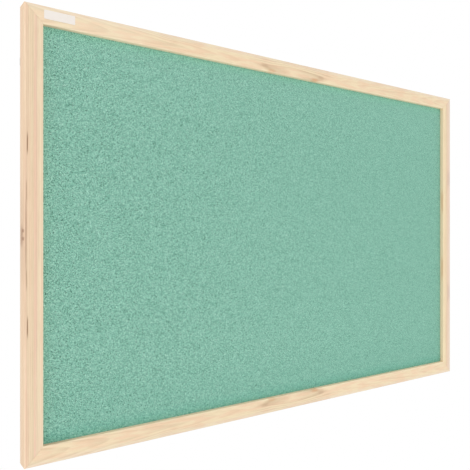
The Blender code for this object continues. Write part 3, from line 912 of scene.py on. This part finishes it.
def strap_profile(foot_z, pivot, outer):
    """Side view as (depth, height): a flat leg up to a knuckle rolled round the pivot."""
    inner = outer - STRAP_THICKNESS
    middle = (outer + inner) / 2
    line = [(pivot[0] - middle, foot_z), (pivot[0] - middle, (foot_z + pivot[1]) / 2)]
    for step in range(CURL_STEPS + 1):
        turn = math.radians(180 - CURL_ANGLE * step / CURL_STEPS)
        line.append((pivot[0] + middle * math.cos(turn), pivot[1] + middle * math.sin(turn)))
    outer_side = []
    inner_side = []
    for index, (py, pz) in enumerate(line):
        before = line[max(index - 1, 0)]
        after = line[min(index + 1, len(line) - 1)]
        heading = Vector((after[0] - before[0], after[1] - before[1])).normalized()
        normal = Vector((-heading.y, heading.x)) * STRAP_THICKNESS / 2
        outer_side.append((py + normal.x, pz + normal.y))
        inner_side.append((py - normal.x, pz - normal.y))
    return outer_side + inner_side[::-1]


def punch(piece, cutter_bm):
    """Cut a shape out of a piece for good."""
    cutter = make_piece(piece.name + "_punch", cutter_bm, zinc)
    cut = piece.modifiers.new("punch", "BOOLEAN")
    cut.operation = "DIFFERENCE"
    cut.object = cutter
    depsgraph = bpy.context.evaluated_depsgraph_get()
    mesh = bpy.data.meshes.new_from_object(piece.evaluated_get(depsgraph))
    piece.modifiers.clear()
    piece.data = mesh
    bpy.data.objects.remove(cutter)
    mesh.shade_smooth()
    mesh.set_sharp_from_angle(angle=math.radians(35))


zinc = zinc_plate("zinc_plate")
for side in ("left", "right"):
    low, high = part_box("hanger_strap_" + side)
    outer = (high[1] - low[1]) / 2
    pivot = (low[1] + outer, high[2] - outer)
    bm = bmesh.new()
    profile = strap_profile(low[2], pivot, outer)
    face = bm.faces.new([bm.verts.new((low[0], py, pz)) for py, pz in profile])
    swept = bmesh.ops.extrude_face_region(bm, geom=[face])["geom"]
    far_verts = [item for item in swept if isinstance(item, bmesh.types.BMVert)]
    bmesh.ops.translate(bm, verts=far_verts, vec=(high[0] - low[0], 0, 0))
    foot = []
    for edge in bm.edges:
        ends = [vert.co for vert in edge.verts]
        at_foot = all(abs(end.z - low[2]) < SAME_PLACE for end in ends)
        if at_foot and abs(ends[0].x - ends[1].x) < SAME_PLACE:
            foot.append(edge)
    bmesh.ops.bevel(bm, geom=foot, offset=STRAP_CORNER, segments=STRAP_CORNER_STEPS, profile=0.5,
                    affect="EDGES")
    strap = make_piece("zinc_hanger_strap_" + side, bm, zinc)
    for where in ("upper", "lower"):
        screw_low, screw_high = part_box(f"hanger_screw_{side}_{where}")
        centre = (Vector(screw_low) + Vector(screw_high)) / 2
        centre.y = low[1]
        bm = bmesh.new()
        place = Matrix.Translation(centre) @ Matrix.Rotation(math.radians(90), 4, "X")
        bmesh.ops.create_cone(bm, cap_ends=True, segments=PUNCH_SIDES, radius1=STRAP_HOLE,
                              radius2=STRAP_HOLE, depth=PUNCH_LENGTH, matrix=place)
        punch(strap, bm)
    soft = strap.modifiers.new("deburred", "BEVEL")
    soft.width = STRAP_EDGE
    soft.segments = 2
    soft.limit_method = "ANGLE"
    soft.angle_limit = math.radians(50)
    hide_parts("hanger_strap_" + side)
    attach(strap, "board")

# The hanger rings. Round zinc-plated wire bent to a D, its straight bar held in the strap's knuckle,
# so that the ring swings out and up to meet a wall hook.

RING_WIRE = 0.002
RING_CORNER = 0.0018
RING_CORNER_STEPS = 8
RING_BAR_STEPS = 8
RING_BOW_STEPS = 40
RING_SIDES = 20


def swept_ring(path, radius, sides):
    """Closed round wire along a flat loop of points in X and Z."""
    bm = bmesh.new()
    loops = []
    count = len(path)
    for index, here in enumerate(path):
        heading = (path[(index + 1) % count] - path[index - 1]).normalized()
        outward = Vector((-heading.z, 0, heading.x))
        loop = []
        for side in range(sides):
            turn = 2 * math.pi * side / sides
            aside = Vector((0, radius * math.sin(turn), 0))
            loop.append(bm.verts.new(here + outward * radius * math.cos(turn) + aside))
        loops.append(loop)
    for index in range(count):
        near, far = loops[index], loops[(index + 1) % count]
        for side in range(sides):
            after = (side + 1) % sides
            bm.faces.new((near[side], near[after], far[after], far[side]))
    return bm


for side in ("left", "right"):
    low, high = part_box("hanger_ring_" + side)
    wire = RING_WIRE / 2
    half = (high[0] - low[0]) / 2 - wire
    middle_x = (low[0] + high[0]) / 2
    middle_y = (low[1] + high[1]) / 2
    bar_z = high[2] - wire
    bow_z = low[2] + wire + half
    outline = arc((half - RING_CORNER, -RING_CORNER), RING_CORNER, 90, 0, RING_CORNER_STEPS)
    outline += arc((0, bow_z - bar_z), half, 0, -180, RING_BOW_STEPS)
    outline += arc((RING_CORNER - half, -RING_CORNER), RING_CORNER, 180, 90, RING_CORNER_STEPS)
    for step in range(1, RING_BAR_STEPS):
        outline.append(((half - RING_CORNER) * (2 * step / RING_BAR_STEPS - 1), 0))
    path = [Vector((middle_x + px, middle_y, bar_z + pz)) for px, pz in outline]
    ring = make_piece("zinc_hanger_ring_" + side, swept_ring(path, wire, RING_SIDES), zinc)
    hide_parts("hanger_ring_" + side)
    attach(ring, "ring_" + side)

# The hanger screws. Zinc-plated pan-head wood screws with a cross recess, two through each strap,
# each stopped at its own turn.

HEAD_RADIUS = 0.003
HEAD_HEIGHT = 0.0017
HEAD_RIM = 0.0006
HEAD_CHAMFER = 0.0001
HEAD_STEPS = 10
SHANK_RADIUS = 0.0013
CORE_RADIUS = 0.0009
THREAD_PITCH = 0.0011
THREAD_SHARPNESS = 3.2
THREAD_STEPS = 8
SCREW_TIP = 0.003
SCREW_TIP_STEPS = 16
SCREW_SIDES = 40
CROSS_DEPTH = 0.0011
CROSS_TOP = (0.0034, 0.00075)
CROSS_END = (0.0014, 0.0005)
CROSS_OVERRUN = 0.0004


def lathe(profile, sides, twist=None):
    """Turn a profile of (radius, height) about Z. The twist may change a radius round the turn."""
    bm = bmesh.new()
    loops = []
    for radius, height in profile:
        if radius == 0:
            loops.append([bm.verts.new((0, 0, height))])
            continue
        loop = []
        for side in range(sides):
            turn = 2 * math.pi * side / sides
            here = twist(radius, height, turn) if twist else radius
            loop.append(bm.verts.new((here * math.cos(turn), here * math.sin(turn), height)))
        loops.append(loop)
    for near, far in zip(loops, loops[1:]):
        for side in range(sides):
            after = (side + 1) % sides
            corners = [near[side % len(near)], near[after % len(near)]]
            corners += [far[after % len(far)], far[side % len(far)]]
            corners = list(dict.fromkeys(corners))
            if len(corners) > 2:
                bm.faces.new(corners)
    return bm


def thread(radius, height, turn):
    """Radius of the threaded shank: a sharp ridge that climbs once round in each pitch."""
    if radius > SHANK_RADIUS or height > -THREAD_PITCH:
        return radius
    phase = (height / THREAD_PITCH + turn / (2 * math.pi)) % 1.0
    ridge = max(0.0, 1.0 - abs(phase - 0.5) * THREAD_SHARPNESS)
    return radius * (CORE_RADIUS + (SHANK_RADIUS - CORE_RADIUS) * ridge) / SHANK_RADIUS


def cross_bmesh():
    """The tapering cross of a driver's tip. Each end has a span and the width of its slots."""
    bm = bmesh.new()
    loops = []
    top, end = HEAD_HEIGHT + CROSS_OVERRUN, HEAD_HEIGHT - CROSS_DEPTH
    for height, (span, slot) in ((top, CROSS_TOP), (end, CROSS_END)):
        loop = []
        for quarter in range(4):
            spin = Matrix.Rotation(quarter * math.pi / 2, 3, "Z")
            for px, py in ((span / 2, -slot / 2), (span / 2, slot / 2), (slot / 2, slot / 2)):
                loop.append(bm.verts.new(spin @ Vector((px, py, height))))
        loops.append(loop)
    bm.faces.new(loops[0])
    bm.faces.new(loops[1])
    count = len(loops[0])
    for index in range(count):
        after = (index + 1) % count
        bm.faces.new((loops[0][index], loops[0][after], loops[1][after], loops[1][index]))
    return bm


spins = {"left_upper": 12, "left_lower": 51, "right_upper": 33, "right_lower": 78}
for key, spin in spins.items():
    low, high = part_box("hanger_screw_" + key)
    profile = [(0, HEAD_HEIGHT)]
    dome = HEAD_HEIGHT - HEAD_RIM
    for px, pz in arc((0, 0), 1.0, 85, 0, HEAD_STEPS):
        profile.append((HEAD_RADIUS * px, HEAD_RIM + dome * pz))
    profile += [(HEAD_RADIUS, HEAD_CHAMFER), (HEAD_RADIUS - HEAD_CHAMFER, 0), (SHANK_RADIUS, 0)]
    shank = (high[1] - low[1]) - HEAD_HEIGHT
    rings = round((shank - SCREW_TIP) / THREAD_PITCH * THREAD_STEPS)
    for step in range(1, rings + 1):
        profile.append((SHANK_RADIUS, -(shank - SCREW_TIP) * step / rings))
    for step in range(1, SCREW_TIP_STEPS):
        share = step / SCREW_TIP_STEPS
        profile.append((SHANK_RADIUS * (1 - share), -(shank - SCREW_TIP) - SCREW_TIP * share))
    profile.append((0, -shank))
    screw = make_piece("zinc_hanger_screw_" + key, lathe(profile, SCREW_SIDES, thread), zinc)
    punch(screw, cross_bmesh())
    seat = Vector(((low[0] + high[0]) / 2, high[1] - HEAD_HEIGHT, (low[2] + high[2]) / 2))
    turned = Matrix.Rotation(math.radians(-90), 4, "X") @ Matrix.Rotation(math.radians(spin), 4, "Z")
    screw.data.transform(Matrix.Translation(seat) @ turned)
    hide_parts("hanger_screw_" + key)
    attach(screw, "board")

# The wall bumpers. Soft grey rubber pads stuck to the lower corners of the back, so that the board
# stands off the wall as far below as it does at its hangers.

BUMPER_FOOT = 0.0003
BUMPER_TIP_SHARE = 0.79
BUMPER_RING_SHARE = 0.42
BUMPER_FLOOR_SHARE = 0.3
BUMPER_ROUND = 0.0009
BUMPER_DIMPLE = 0.0004
BUMPER_SIDES = 64

grey_rubber = Finish("grey_rubber")
x, y, z = grey_rubber.place()
bloom = grey_rubber.noise(grey_rubber.point(x, y, z), scale=0.45, detail=3.0)
skin = grey_rubber.noise(grey_rubber.point(x, y, z), scale=4.0, detail=2.0)
colour = grey_rubber.mix(bloom, srgb(58, 58, 60), srgb(78, 78, 78))
grey_rubber.paint("Base Color", grey_rubber.mix(skin.ease(0.6, 0.8) * 0.3, colour, srgb(104, 102, 98)))
grey_rubber.paint("Roughness", bloom * 0.2 + 0.6)
grey_rubber.relief(skin, 0.00004)

for side in ("left", "right"):
    low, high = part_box("wall_bumper_" + side)
    base = (high[0] - low[0]) / 2
    tip = base * BUMPER_TIP_SHARE
    height = high[1] - BACK_Y
    hollow = height - BUMPER_DIMPLE
    profile = [(0, 0), (base, 0), (base, BUMPER_FOOT)]
    profile += arc((tip - BUMPER_ROUND, height - BUMPER_ROUND), BUMPER_ROUND, 15, 90, 7)
    profile += [(tip * BUMPER_RING_SHARE, height), (tip * BUMPER_FLOOR_SHARE, hollow), (0, hollow)]
    pad = make_piece("grey_wall_bumper_" + side, lathe(profile, BUMPER_SIDES), grey_rubber)
    seat = Vector(((low[0] + high[0]) / 2, BACK_Y, (low[2] + high[2]) / 2))
    pad.data.transform(Matrix.Translation(seat) @ Matrix.Rotation(math.radians(-90), 4, "X"))
    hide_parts("wall_bumper_" + side)
    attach(pad, "board")
